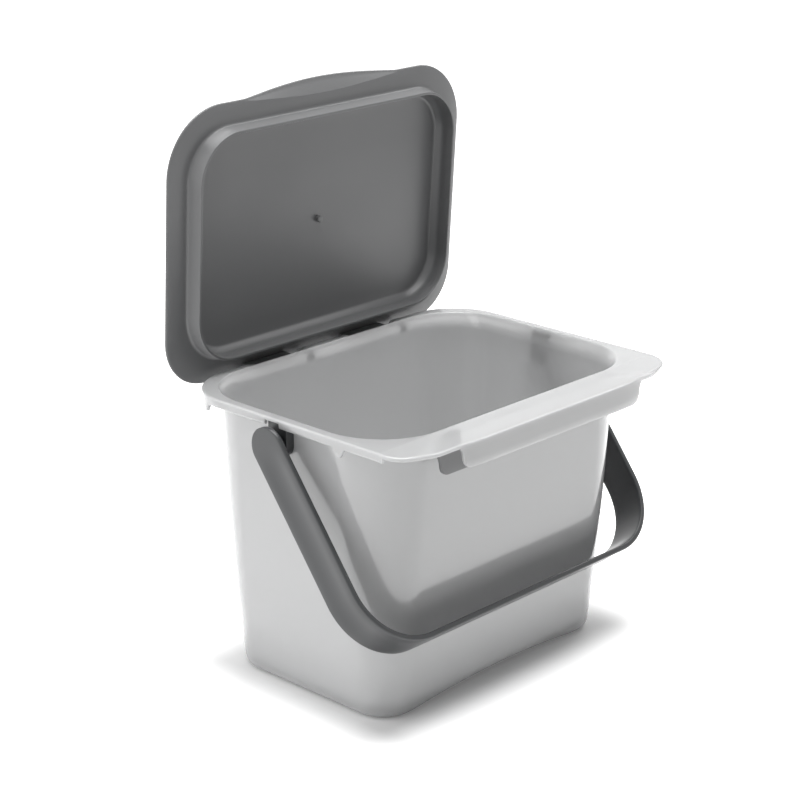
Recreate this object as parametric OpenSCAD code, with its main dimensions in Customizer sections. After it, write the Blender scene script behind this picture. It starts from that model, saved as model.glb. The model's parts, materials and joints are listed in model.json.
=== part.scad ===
// Compost caddy with a hinged lid and a swinging bail, standing open.
// Origin: middle of the overall length and width, lid open, on the table.
// +Z is up, the front lip points to -Y.

/* [Bucket] */
// Outer width of the bucket at its base
base_w = 205; // [190:1:220]
// Outer depth of the bucket at its base
base_d = 134; // [124:1:150]
// Height of the rim above the table
rim_h = 185; // [165:1:210]
// How far each wall leans out between the base and the rim
lean = 13.8; // [11:0.1:16]
// How much the walls belly outward, as a share of the lean
belly = 0.43; // [0.1:0.01:0.6]
// Corner radius of the bucket at its base
base_r = 22; // [16:1:28]
// Corner radius of the bucket under the rim
mouth_r = 41; // [36:1:46]
// Wall thickness of the bucket
wall = 2.2; // [1.8:0.1:2.8]
// Thickness of the floor over the arch of the base
floor_t = 2.5; // [2:0.1:4]
// Radius of the edge round the base
foot_r = 6; // [4:0.5:8]
// Height of the arch that runs under the base from front to back
arch_h = 4.5; // [2:0.5:6]
// Width of that arch on the table
arch_w = 150; // [120:1:160]
// Radius of the edge between the inner walls and the floor
floor_r = 8; // [5:0.5:10]

/* [Rim] */
// Overhang of the rim past the side walls
rim_side = 8.7; // [8.2:0.1:10]
// Overhang of the rim past the rear wall
rim_rear = 6.2; // [5.8:0.1:7.5]
// Overhang of the front lip past the front wall
lip = 29.7; // [26:0.1:34]
// Thickness of the rim plate
rim_t = 2.6; // [2.2:0.1:3]
// Height of the turned-down edge of the rim
edge_h = 5.5; // [4.5:0.1:6]
// Thickness of the turned-down edge
edge_t = 2; // [1.6:0.1:2.4]
// Radius of the rim's rear corners
rim_r = 38; // [34:1:42]
// Radius of the funnel between the rim and the inner walls
funnel_r = 4.6; // [3:0.1:5]
// Reach of the funnel over the rear wall, less than at the sides to leave a land behind it
funnel_rear = 3; // [2:0.1:3.2]
// Radius of the tight corner at each end of the front lip
lip_end_r = 15; // [12:1:18]
// Radius of the bowed part of the front lip
lip_bow_r = 150; // [135:5:200]
// Half length of the straight middle of the front lip
lip_flat = 60; // [52:1:64]
// Slope of the drooping corners of the front lip, in degrees
droop = 5; // [3:0.5:5]

/* [Front grip] */
// Depth of the grip skirt below the top of the rim
grip_h = 15.6; // [12:0.1:18]
// Half length of the grip skirt above its rounded lower corners
grip_w = 80.5; // [72:0.5:82]
// Thickness of the grip skirt
grip_t = 2; // [1.6:0.1:2.6]
// Distance from the grip skirt's face back to the hanging plate's face
channel = 17.5; // [14:0.5:18]
// Depth of the hanging plate below the top of the rim
hanger_h = 24; // [20:0.5:28]
// Half length of the hanging plate above its rounded lower corners
hanger_w = 82; // [74:0.5:84]
// Thickness of the hanging plate
hanger_t = 2.4; // [2:0.1:3]

/* [Lid] */
// Angle the lid stands open, from closed
lid_open = 86.3; // [60:0.1:95]
// Gap between the closed lid and the rim
brim_gap = 0.6; // [0.5:0.1:0.9]
// Thickness of the lid's brim
brim_t = 2; // [1.8:0.1:2.6]
// Rise of the brim from the collar out to its edge
brim_curl = 2; // [0.5:0.1:2.6]
// Overhang of the brim past the rim at the sides
brim_side = 2.2; // [1.5:0.1:2.4]
// Overhang of the brim past the rim at the rear
brim_rear = 2.9; // [2.4:0.1:3.4]
// Reach of the brim in front of the front wall
brim_front = 5; // [4.5:0.1:8]
// Radius of the brim's front corners
brim_r = 42; // [38:1:47]
// Radius of the brim's rear corners
brim_rear_r = 33; // [29:1:38]
// How far the finger grip stands out of the brim's front edge
tab_out = 4.4; // [3:0.1:6]
// Half length of the finger grip
tab_w = 66; // [50:1:72]
// Depth of the collar below the brim
collar_h = 10.2; // [8:0.1:13]
// Thickness of the collar
collar_t = 2; // [1.6:0.1:2.4]
// Draft of the collar from root to free edge
collar_draft = 1.4; // [0.8:0.1:1.8]
// Corner radius of the collar
collar_r = 32; // [29:1:35]
// Clearance between the collar and the side walls
collar_side = 2.1; // [1.6:0.1:3]
// Clearance between the collar and the front wall
collar_front = 8.2; // [5:0.1:10]
// Clearance between the collar and the rear wall
collar_rear = 4.9; // [4:0.1:7]
// Height of the raised panel above the brim
panel_h = 3.4; // [2:0.1:4]
// Inset of the raised panel from the collar's inner face
panel_in = 2.9; // [2:0.1:5]

/* [Hinge] */
// Distance of the hinge axis in front of the rim's rear edge
hinge_in = 0.2; // [0:0.1:0.4]
// Distance of the hinge axis below the top of the rim
hinge_down = 4.4; // [4.3:0.1:5]
// Diameter of the hinge pins
pin_d = 4; // [3:0.1:4.2]
// Diameter of the hinge barrels on the lid
barrel_d = 6.6; // [6:0.1:6.8]
// Radial running clearance of every pin
run_gap = 0.08; // [0.05:0.01:0.1]
// Distance from the middle of the lid to the middle of each hinge notch
notch_x = 43; // [40:1:50]
// Width of each hinge notch
notch_w = 46; // [36:1:50]
// Width of the hinge arm in each notch
arm_w = 36; // [24:1:38]
// Side play of each hinge arm in its notch
arm_play = 0.8; // [0.5:0.1:1.5]
// How far each pin reaches into its ear
pin_reach = 5; // [4:0.5:6]
// Depth of the notches in the rear edge of the rim
notch_in = 4; // [3.9:0.1:4.3]

/* [Bail] */
// Distance of the bail's pivot below the top of the rim
pivot_down = 17; // [14:1:35]
// Distance from the pivot axis to the outer face of the crossbar
bail_l = 140; // [137:1:150]
// Width of the bail's strip
bail_w = 26; // [20:1:28]
// Thickness of the bail's strip
bail_t = 3.6; // [3:0.1:4.4]
// Depth of the dish along the bail's outer face
dish = 0.9; // [0.4:0.1:1.2]
// Radius of the bail's rounded edges
bail_edge_r = 1.1; // [0.6:0.1:1.4]
// Outer radius of the bail's two bends
bend_r = 42; // [36:1:46]
// Clearance between the arms of the bail and the lid's brim
arm_gap = 1; // [0.8:0.1:2]
// Gap between the resting crossbar and the front wall
rest_gap = 0.4; // [0.3:0.1:1]
// Diameter of the pivot pins
pivot_d = 8; // [6:0.1:9]
// Width of each pivot block
block_w = 15.4; // [13:0.1:17]
// Clearance between a pivot block and what passes it
block_gap = 0.3; // [0.2:0.1:0.5]

/* [Hidden] */

LIGHT = [0.80, 0.81, 0.82];
DARK = [0.36, 0.37, 0.38];

rim_bottom = rim_h - rim_t;
pivot_z = rim_h - pivot_down;
ARC_STEPS = 8;
WALL_STEPS = 7;

// Outward spread of the walls at height z: straight lean plus belly
function climb(z) = z / rim_h;
function spread(z) = lean * (climb(z) + belly * climb(z) * (1 - climb(z)));
function half_w(z) = base_w / 2 + spread(z);
function half_d(z) = base_d / 2 + spread(z);
function corner_r(z) = base_r + (mouth_r - base_r) * climb(z);

// Points of an arc, from angle a to angle b
function arc(cx, cy, r, a, b, steps) =
    [for (i = [0:steps]) [cx + r * cos(a + (b - a) * i / steps), cy + r * sin(a + (b - a) * i / steps)]];

// Rounded rectangle from y0 to y1, half width hw; the front corners can have their own radius
function tray(hw, y0, y1, r, front_r = undef) =
    let (f = is_undef(front_r) ? r : front_r)
    concat(
        arc(hw - r, y1 - r, r, 0, 90, ARC_STEPS),
        arc(r - hw, y1 - r, r, 90, 180, ARC_STEPS),
        arc(f - hw, y0 + f, f, 180, 270, ARC_STEPS),
        arc(hw - f, y0 + f, f, 270, 360, ARC_STEPS));

// Outline part way from one outline to another with as many points
function between(a, b, share) = [for (i = [0:len(a) - 1]) a[i] * (1 - share) + b[i] * share];

function ring(outline, z) = [for (p = outline) [p[0], p[1], z]];

// Closed solid through rings that all have the same number of points
module loft(rings) {
    n = len(rings[0]);
    m = len(rings);
    bottom = [[for (i = [0:n - 1]) i]];
    top = [[for (i = [n - 1:-1:0]) (m - 1) * n + i]];
    sides = [for (j = [0:m - 2], i = [0:n - 1]) each [
        [j * n + i, (j + 1) * n + (i + 1) % n, j * n + (i + 1) % n],
        [j * n + i, (j + 1) * n + i, (j + 1) * n + (i + 1) % n]]];
    polyhedron(points = [for (r = rings) each r], faces = concat(bottom, sides, top));
}

// ---- bucket ----

mouth_w = half_w(rim_bottom);
mouth_d = half_d(rim_bottom);
rim_hw = mouth_w + rim_side;
rear_y = mouth_d + rim_rear;
lip_y = -mouth_d - lip;
hinge_y = rear_y - hinge_in;
hinge_z = rim_h - hinge_down;

// Outer wall at height z, drawn in by e
function wall_ring(z, e) =
    ring(tray(half_w(z) - e, e - half_d(z), half_d(z) - e, corner_r(z) - e), z);

foot_angles = [0, 30, 60];
foot_rings = [for (a = foot_angles) let (z = foot_r * (1 - cos(a))) wall_ring(z, foot_r * (1 - sin(a)))];
wall_rings = [for (i = [0:WALL_STEPS]) wall_ring(foot_r + (rim_bottom - foot_r) * i / WALL_STEPS, 0)];

floor_z = arch_h + floor_t;
well_rings = [for (a = foot_angles)
    let (z = floor_z + floor_r * (1 - cos(a))) wall_ring(z, wall + floor_r * (1 - sin(a)))];
funnel_z = rim_h - funnel_r;
inner_rings = [for (i = [0:WALL_STEPS])
    wall_ring(floor_z + floor_r + (funnel_z - floor_z - floor_r) * i / WALL_STEPS, wall)];

// Plan of the funnel, where it has widened by the share s of its reach
function funnel_plan(s) = tray(
    half_w(funnel_z) - wall + s * funnel_r,
    wall - half_d(funnel_z) - s * funnel_r,
    half_d(funnel_z) - wall + s * funnel_rear,
    corner_r(funnel_z) - wall + s * funnel_r);
funnel_rings = [for (a = [30, 60, 80]) ring(funnel_plan(1 - cos(a)), funnel_z + funnel_r * sin(a))];
mouth_ring = ring(funnel_plan(1), rim_h + 1);

// Plan of the rim, drawn in by e: round rear corners, tight front corners, bowed front lip
lip_turn = acos((rim_hw - lip_end_r - lip_flat) / (lip_bow_r - lip_end_r));
lip_cy = lip_y + lip_bow_r;
end_cy = lip_cy - (lip_bow_r - lip_end_r) * sin(lip_turn);
function rim_plan(e) = concat(
    arc(rim_hw - rim_r, rear_y - rim_r, rim_r - e, 0, 90, ARC_STEPS),
    arc(rim_r - rim_hw, rear_y - rim_r, rim_r - e, 90, 180, ARC_STEPS),
    arc(lip_end_r - rim_hw, end_cy, lip_end_r - e, 180, 180 + lip_turn, ARC_STEPS),
    arc(-lip_flat, lip_cy, lip_bow_r - e, 180 + lip_turn + 3, 270, 6),
    arc(lip_flat, lip_cy, lip_bow_r - e, 270, 360 - lip_turn - 3, 6),
    arc(rim_hw - lip_end_r, end_cy, lip_end_r - e, 360 - lip_turn, 360, ARC_STEPS));

rim_round = 1;
side_front_y = -mouth_d - 3;

module rim_plate() {
    loft([
        ring(rim_plan(0), rim_bottom),
        ring(rim_plan(0), rim_h - rim_round),
        ring(rim_plan(rim_round * 0.3), rim_h - rim_round * 0.3),
        ring(rim_plan(rim_round), rim_h)]);
}

// Turned-down edge along both sides and the rear
module rim_edge() {
    difference() {
        translate([0, 0, rim_h - edge_h])
            linear_extrude(edge_h - rim_t + 0.2)
                difference() {
                    polygon(rim_plan(0));
                    polygon(rim_plan(edge_t));
                }
        translate([-rim_hw - 1, lip_y - 1, rim_h - edge_h - 1])
            cube([2 * rim_hw + 2, side_front_y - lip_y + 1, edge_h]);
    }
}

// Area of one drooping lip corner, from the ridge line forward
ridge_y = -mouth_d - 3.5;
module droop_area() {
    polygon([[-52, 0], [-rim_hw - 5, 0], [-rim_hw - 5, -lip - 5], [-84, -lip - 5]]);
}

module droop_prism(z0, h) {
    for (s = [0, 1])
        mirror([s, 0, 0])
            translate([0, ridge_y, rim_h])
                rotate([droop, 0, 0])
                    translate([0, 0, z0])
                        linear_extrude(h)
                            droop_area();
}

// Front lip corner plates that carry on under the droop
module lip_corners() {
    intersection() {
        translate([0, 0, rim_h - edge_h - 4])
            linear_extrude(edge_h + 4)
                difference() {
                    polygon(rim_plan(0));
                    translate([-rim_hw, ridge_y])
                        square([2 * rim_hw, 2 * mouth_d]);
                }
        droop_prism(-rim_t, rim_t);
    }
}

// Face of a skirt seen from the front: straight lower edge, ends that curve out and up
skirt_end_r = 6.5;
skirt_sweep_r = 9;
function skirt_side(hw, h) = concat(
    arc(hw - skirt_end_r, skirt_end_r - h, skirt_end_r, 270, 360, ARC_STEPS),
    arc(hw + skirt_sweep_r, skirt_end_r - h, skirt_sweep_r, 180, 118, ARC_STEPS),
    [[hw + 5, -rim_t - 0.1], [hw + 5, 0]]);
module skirt_face(hw, h) {
    side = skirt_side(hw, h);
    last = len(side) - 1;
    polygon(concat(side, [for (i = [last:-1:0]) [-side[i][0], side[i][1]]]));
}

module grip_skirt() {
    intersection() {
        translate([0, 0, rim_h - grip_h])
            linear_extrude(grip_h - rim_t + 0.2)
                difference() {
                    polygon(rim_plan(0));
                    polygon(rim_plan(grip_t));
                }
        translate([0, lip_y + lip / 2, rim_h])
            rotate([90, 0, 0])
                linear_extrude(lip)
                    skirt_face(grip_w, grip_h);
    }
}

// Two low ribs under the lip that hold the top of the hanging plate
hanger_y = lip_y + channel;
seat_h = 4;
seat_t = 1.6;
seat_gap = 0.1;
module hanger_seat() {
    for (y = [hanger_y - seat_gap - seat_t, hanger_y + hanger_t + seat_gap])
        translate([-grip_w, y, rim_bottom - seat_h])
            cube([2 * grip_w, seat_t, seat_h + 0.2]);
}

// Small tapered teeth below the side edges, one of each pair on the rear corner's curve
tooth_y = 52;
tooth_turn = 21.6;
tooth_h = 5.4;
tooth_w = 8;
tooth_tip = 3.2;
module tooth() {
    rotate([90, 0, 90])
        linear_extrude(edge_t, center = true)
            polygon([
                [-tooth_w / 2, 0],
                [-tooth_tip / 2, -tooth_h],
                [tooth_tip / 2, -tooth_h],
                [tooth_w / 2, 0]]);
}

module teeth() {
    for (s = [0, 1])
        mirror([s, 0, 0])
            translate([0, 0, rim_h - edge_h + 0.2]) {
                translate([rim_hw - edge_t / 2, -tooth_y, 0])
                    tooth();
                translate([rim_hw - rim_r, rear_y - rim_r, 0])
                    rotate(tooth_turn)
                        translate([rim_r - edge_t / 2, 0, 0])
                            tooth();
            }
}

// Ears that carry the lid's hinge pins, at the right-hand end of each notch
ear_wall = 1.6;
pin_end_gap = 0.4;
ear_t = pin_reach + pin_end_gap + ear_wall;
ear_r = pin_d / 2 + 2;
module ear(s) {
    web = hinge_y - mouth_d + 1;
    translate([s * notch_x + notch_w / 2, hinge_y, hinge_z])
        rotate([90, 0, 90])
            linear_extrude(ear_t) {
                circle(r = ear_r, $fn = 64);
                translate([-web, 0])
                    square([web + hinge_in, hinge_down - 1]);
                translate([-web, -ear_r])
                    square([web, ear_r]);
            }
}

// Blind bore for a hinge pin, through the ear and whatever of the rim lies in its way
module hinge_bore(s) {
    translate([s * notch_x + notch_w / 2 - 1, hinge_y, hinge_z])
        rotate([0, 90, 0])
            cylinder(d = pin_d + 2 * run_gap, h = 1 + pin_reach + pin_end_gap, $fn = 64);
}

// Notches in the rear edge through which the lid's arms pass
module hinge_notch(s) {
    translate([s * notch_x - notch_w / 2, rear_y - notch_in, rim_h - edge_h - 1])
        cube([notch_w, notch_in + 3, edge_h + 2]);
}

// Openings in the side edges above the pivot blocks
module pivot_notch(s) {
    translate([s * rim_hw - 4, -4, rim_h - edge_h - 1])
        cube([8, 4 + block_w / 2 + 0.6, edge_h - rim_t + 1]);
}

// Arch under the base, from front to back
arch_r = (pow(arch_w / 2, 2) + pow(arch_h, 2)) / (2 * arch_h);
module base_arch() {
    translate([0, 0, arch_h - arch_r])
        rotate([90, 0, 0])
            cylinder(r = arch_r, h = base_d + 40, center = true, $fn = 360);
}

module bucket() {
    color(LIGHT)
    in_frame()
    difference() {
        union() {
            loft(concat(foot_rings, wall_rings));
            difference() {
                rim_plate();
                droop_prism(0, 8);
            }
            lip_corners();
            rim_edge();
            grip_skirt();
            hanger_seat();
            teeth();
            for (s = [-1, 1])
                ear(s);
        }
        loft(concat(well_rings, inner_rings, funnel_rings, [mouth_ring]));
        base_arch();
        for (s = [-1, 1]) {
            hinge_notch(s);
            hinge_bore(s);
            pivot_notch(s);
        }
    }
}

// ---- lid, modelled closed and turned open about the hinge ----

brim_z = rim_h + brim_gap;
inner_w = half_w(funnel_z) - wall;
inner_d = half_d(funnel_z) - wall;
collar_hw = inner_w - collar_side;
collar_y0 = collar_front - inner_d;
collar_y1 = inner_d - collar_rear;
brim_hw = rim_hw + brim_side;
brim_y0 = -mouth_d - brim_front;
brim_y1 = rear_y + brim_rear;

// Plan of the collar, grown by e
function collar_plan(e) = tray(collar_hw + e, collar_y0 - e, collar_y1 + e, collar_r + e);

// Finger grip: a shallow arc that stands out of the front edge
tab_r = (pow(tab_w, 2) + pow(tab_out, 2)) / (2 * tab_out);
function brim_plan(e) = tray(brim_hw - e, brim_y0 + e, brim_y1 - e, brim_rear_r - e, brim_r - e);

// The brim curls up from the collar to its rounded edge
brim_round = 0.8;
edge_z = brim_z + brim_curl;
half_curl = brim_curl / 4;
half_way = between(collar_plan(0), brim_plan(brim_round), 0.5);
tab_edge = 0.3;
tab_seat = 2;
module brim() {
    loft([
        ring(collar_plan(0), brim_z),
        ring(half_way, brim_z + half_curl),
        ring(brim_plan(brim_round), edge_z),
        ring(brim_plan(0), edge_z + brim_round),
        ring(brim_plan(0), edge_z + brim_t - brim_round),
        ring(brim_plan(brim_round), edge_z + brim_t),
        ring(half_way, brim_z + half_curl + brim_t),
        ring(collar_plan(0), brim_z + brim_t)]);
    translate([0, 0, edge_z + tab_edge])
        linear_extrude(brim_t - 2 * tab_edge)
            intersection() {
                translate([0, brim_y0 - tab_out + tab_r])
                    circle(r = tab_r, $fn = 240);
                translate([-tab_w, brim_y0 - tab_out - 1])
                    square([2 * tab_w, tab_out + 1 + tab_seat]);
            }
}

// Panel inside the collar: raised over the brim on sloping sides
module panel_block(z0, z1, grow) {
    hull() {
        translate([0, 0, z0])
            linear_extrude(0.01)
                polygon(collar_plan(grow - collar_t));
        translate([0, 0, z1 - 0.01])
            linear_extrude(0.01)
                polygon(collar_plan(grow - collar_t - panel_in));
    }
}

module collar() {
    difference() {
        hull() {
            translate([0, 0, brim_z])
                linear_extrude(0.01)
                    polygon(collar_plan(collar_draft));
            translate([0, 0, brim_z - collar_h])
                linear_extrude(0.01)
                    polygon(collar_plan(0));
        }
        translate([0, 0, brim_z - collar_h - 1])
            linear_extrude(collar_h + 2)
                polygon(collar_plan(-collar_t));
    }
}

// Hinge arm with its barrel and the pin on its right-hand side
pin_show = notch_w - arm_w - arm_play;
arm_back = 0.8;
arm_sink = 0.6;
module hinge_arm(s) {
    x0 = s * notch_x - notch_w / 2 + arm_play;
    barrel_r = barrel_d / 2;
    translate([x0, hinge_y, hinge_z])
        rotate([90, 0, 90])
            linear_extrude(arm_w)
                union() {
                    circle(r = barrel_r, $fn = 64);
                    translate([-arm_back, 0])
                        square([barrel_r + arm_back, hinge_down + brim_gap + brim_curl + arm_sink]);
                }
    translate([x0 + arm_w - 1, hinge_y, hinge_z])
        rotate([0, 90, 0])
            cylinder(d = pin_d, h = pin_show + pin_reach + 1, $fn = 64);
}

nub_r = 2.2;
nub_h = 2.6;
module closed_lid() {
    difference() {
        union() {
            brim();
            panel_block(brim_z, brim_z + brim_t + panel_h, collar_t);
            collar();
            for (s = [-1, 1])
                hinge_arm(s);
        }
        panel_block(brim_z - 0.01, brim_z + panel_h, 0);
    }
    translate([0, (collar_y0 + collar_y1) / 2, brim_z + panel_h - nub_h])
        cylinder(r = nub_r, h = nub_h + 1, $fn = 48);
}

module lid() {
    color(DARK)
    in_frame()
    translate([0, hinge_y, hinge_z])
        rotate([-lid_open, 0, 0])
            translate([0, -hinge_y, -hinge_z])
                closed_lid();
}

// ---- bail ----

bail_in = brim_hw + arm_gap;
bail_hw = bail_in + bail_t;
arm_l = bail_l - bend_r;

// Lean of the resting bail: the crossbar's lower inner edge lies against the front wall
function bar_edge_z(a) = pivot_z - (bail_l - bail_t) * cos(a) - bail_w / 2 * sin(a);
function lean_step(a) =
    asin((half_d(bar_edge_z(a)) + rest_gap + bail_w / 2 * cos(a)) / (bail_l - bail_t));
function settle(a, n) = n == 0 ? a : settle(lean_step(a), n - 1);
bail_lean = settle(35, 12);

// Section of the strip: [across, outward], right half first. The outer face is dished
// between two beads.
bead_w = 1.6;
dish_hw = bail_w / 2 - bail_edge_r - bead_w;
dish_r = (pow(dish_hw, 2) + pow(dish, 2)) / (2 * dish);
dish_turn = asin(dish_hw / dish_r);
half_section = concat(
    [[0, 0]],
    arc(bail_w / 2 - bail_edge_r, bail_edge_r, bail_edge_r, 270, 360, 4),
    arc(bail_w / 2 - bail_edge_r, bail_t - bail_edge_r, bail_edge_r, 0, 90, 4),
    arc(0, bail_t - dish + dish_r, dish_r, 270 + dish_turn, 270, 5));
strip_section = concat(half_section,
    [for (i = [len(half_section) - 2:-1:1]) [-half_section[i][0], half_section[i][1]]]);

hub_d = 15;
hub_sink = 0.5;
module bail_arm() {
    translate([bail_in, 0, 0])
        rotate([90, 0, 90])
            rotate_extrude(angle = 180, $fn = 96)
                polygon(half_section);
    translate([bail_in, 0, -arm_l])
        rotate(-90)
            linear_extrude(arm_l)
                polygon(strip_section);
    translate([block_x1 + block_gap, 0, 0])
        rotate([0, 90, 0])
            cylinder(d = hub_d, h = bail_in - block_x1 - block_gap + hub_sink, $fn = 64);
    translate([pivot_tip, 0, 0])
        rotate([0, 90, 0])
            cylinder(d = pivot_d, h = bail_in - pivot_tip + hub_sink, $fn = 64);
}

module bail_bend() {
    translate([bail_hw - bend_r, 0, -arm_l])
        rotate([90, 0, 0])
            rotate_extrude(angle = -90, $fn = 96)
                polygon([for (p = strip_section) [bend_r - bail_t + p[1], p[0]]]);
}

module bail() {
    color(DARK)
    in_frame()
    translate([0, 0, pivot_z])
        rotate([-bail_lean, 0, 0]) {
            for (s = [0, 1])
                mirror([s, 0, 0]) {
                    bail_arm();
                    bail_bend();
                }
            translate([bend_r - bail_hw, 0, bail_t - bail_l])
                rotate([-90, 0, -90])
                    linear_extrude(2 * (bail_hw - bend_r))
                        polygon(strip_section);
        }
}

// ---- pivot blocks, pressed up under the rim beside the side walls ----

block_x0 = mouth_w + block_gap;
block_x1 = rim_hw - edge_t - block_gap;
pivot_tip = block_x0 + 1.2;
module pivot_block() {
    difference() {
        translate([block_x0, 0, pivot_z])
            rotate([90, 0, 90])
                linear_extrude(block_x1 - block_x0) {
                    circle(d = block_w, $fn = 96);
                    translate([-block_w / 2, 0])
                        square([block_w, rim_bottom - pivot_z]);
                }
        translate([pivot_tip - block_gap, 0, pivot_z])
            rotate([0, 90, 0])
                cylinder(d = pivot_d + 2 * run_gap, h = block_x1, $fn = 64);
    }
}

module pivot_block_left() {
    color(DARK)
    in_frame()
    mirror([1, 0, 0])
        pivot_block();
}

module pivot_block_right() {
    color(DARK)
    in_frame()
    pivot_block();
}

// ---- hanging plate, pushed up between the two ribs under the front lip ----

hanger_top = rim_t + (ridge_y - hanger_y) * tan(droop) + 0.3;
module hanging_plate() {
    color(DARK)
    in_frame()
    translate([0, hanger_y + hanger_t, rim_h])
        rotate([90, 0, 0])
            linear_extrude(hanger_t)
                difference() {
                    skirt_face(hanger_w, hanger_h);
                    translate([-rim_hw, -hanger_top])
                        square([2 * rim_hw, hanger_top + 1]);
                }
}

// ---- frame: the bucket's own middle is moved so that the overall box is centred ----

function opened_y(y, z) = hinge_y + (y - hinge_y) * cos(lid_open) + (z - hinge_z) * sin(lid_open);
rearmost_y = max(
    opened_y(brim_y1 - brim_round, edge_z + brim_t),
    opened_y(collar_y1 - panel_in, brim_z + brim_t + panel_h));
frame_y = -(lip_y + rearmost_y) / 2;
module in_frame() {
    translate([0, frame_y, 0])
        children();
}

bucket();
lid();
bail();
pivot_block_left();
pivot_block_right();
hanging_plate();
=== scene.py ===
# %% [markdown]
# # A compost caddy with a hinged lid
# The caddy is a light grey bucket with a dark lid that stands open, a dark bail that rests
# against the front wall, and a front lip with a skirt to grip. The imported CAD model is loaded
# first. It is the frame: every piece below is made in its place, in metres. A designer would
# measure a bucket from its own middle, and the frame's origin is the middle of the whole
# object with its lid open. The hinge is in both, so its place gives the step between them.

# %% Load the frame
import json
import math

import bmesh
import bpy
from mathutils import Matrix, Vector


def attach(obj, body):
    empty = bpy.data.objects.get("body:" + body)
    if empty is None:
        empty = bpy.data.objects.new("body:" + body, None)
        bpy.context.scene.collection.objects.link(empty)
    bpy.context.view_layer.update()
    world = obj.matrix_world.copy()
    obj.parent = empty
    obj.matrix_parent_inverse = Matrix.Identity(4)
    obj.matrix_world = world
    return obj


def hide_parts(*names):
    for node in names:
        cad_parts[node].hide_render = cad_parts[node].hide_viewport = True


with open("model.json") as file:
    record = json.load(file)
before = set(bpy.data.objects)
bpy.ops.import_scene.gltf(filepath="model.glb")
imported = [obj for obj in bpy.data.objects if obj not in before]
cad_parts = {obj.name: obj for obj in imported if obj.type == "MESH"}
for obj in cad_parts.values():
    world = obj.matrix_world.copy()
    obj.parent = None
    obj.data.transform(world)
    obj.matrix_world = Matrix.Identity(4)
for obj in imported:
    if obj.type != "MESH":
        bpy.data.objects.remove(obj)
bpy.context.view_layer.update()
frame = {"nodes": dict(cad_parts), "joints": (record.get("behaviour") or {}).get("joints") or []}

MM = 0.001
joints = {joint["name"]: joint for joint in frame["joints"]}
HINGE_Y, HINGE_Z = 86.688, 180.6
BUCKET_Y = joints["lid_hinge"]["pos_m"][1] / MM - HINGE_Y
print("nodes:", sorted(frame["nodes"]))
print("joints:", sorted(joints), "- the bucket's middle is at y =", round(BUCKET_Y, 2), "mm")


def in_frame(place):
    """Turns a place in mm, measured from the middle of the bucket, into the frame's metres."""
    x, y, z = place
    return Vector((x, y + BUCKET_Y, z)) * MM


# %% [markdown]
# ## Camera and light
# The photograph was taken from the front left, 19 degrees above the table, with a long lens.
# A camera that looks at a target is aimed with to_track_quat, which turns a direction into a
# rotation.

# %% Camera
CAMERA_AZIMUTH = math.radians(-46.51)
CAMERA_HEIGHT = math.radians(19.06)
CAMERA_DISTANCE = 1.32447
CAMERA_TARGET = in_frame((-37.42, -18.0, 178.91))
IMAGE_SIDE = 800
FOCAL_PIXELS = 2190.91
SENSOR = 36.0

back = Vector((
    math.sin(CAMERA_AZIMUTH) * math.cos(CAMERA_HEIGHT),
    -math.cos(CAMERA_AZIMUTH) * math.cos(CAMERA_HEIGHT),
    math.sin(CAMERA_HEIGHT),
))
bpy.ops.object.camera_add(location=CAMERA_TARGET + back * CAMERA_DISTANCE)
camera = bpy.context.object
camera.rotation_euler = (-back).to_track_quat("-Z", "Y").to_euler()
camera.data.sensor_width = SENSOR
camera.data.lens = FOCAL_PIXELS * SENSOR / IMAGE_SIDE
camera.data.clip_start = 0.05
camera.data.clip_end = 20
bpy.context.scene.camera = camera
print("camera lens", round(camera.data.lens, 2), "mm")

# %% [markdown]
# The studio is a white table under soft light: a very large lamp on the left gives the bright
# left wall, a smaller one overhead lights the rim and the lid, a small one adds a little light
# from the upper right, and the world fills the shadows. The table is plain white. Seen by the
# camera it gets a glow that fades out close to the caddy, so that it is as white as in the
# photograph, yet still shows the caddy's shadow.

# %% Lamps
LAMPS = [
    ("left_softbox", (-2.15, 1.15, 0.9), (0, 0, 0.12), 3.6, 54),
    ("overhead_softbox", (0.1, 0.0, 1.9), (0, 0, 0.15), 1.5, 36),
    ("right_softbox", (1.15, 0.08, 1.35), (0, 0, 0.17), 0.55, 5),
]


def add_lamp(name, place, target, side, watts):
    """Adds a square area lamp that looks at the target."""
    bpy.ops.object.light_add(type="AREA", location=place)
    lamp = bpy.context.object
    lamp.name = name
    lamp.rotation_euler = (Vector(target) - Vector(place)).to_track_quat("-Z", "Y").to_euler()
    lamp.data.size = side
    lamp.data.energy = watts
    return lamp


for settings in LAMPS:
    add_lamp(*settings)
print("lamps:", len(LAMPS))


# %% World
def node_tree(owner):
    """Empties a material's or world's nodes and returns the tree."""
    owner.use_nodes = True
    owner.node_tree.nodes.clear()
    return owner.node_tree


def seen_directly(tree, *rays):
    """1 for the named kinds of ray, such as Is Camera Ray, and 0 for all others."""
    path = tree.nodes.new("ShaderNodeLightPath")
    result = path.outputs[rays[0]]
    for ray in rays[1:]:
        either = tree.nodes.new("ShaderNodeMath")
        either.operation = "MAXIMUM"
        tree.links.new(result, either.inputs[0])
        tree.links.new(path.outputs[ray], either.inputs[1])
        result = either.outputs[0]
    return result


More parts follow.
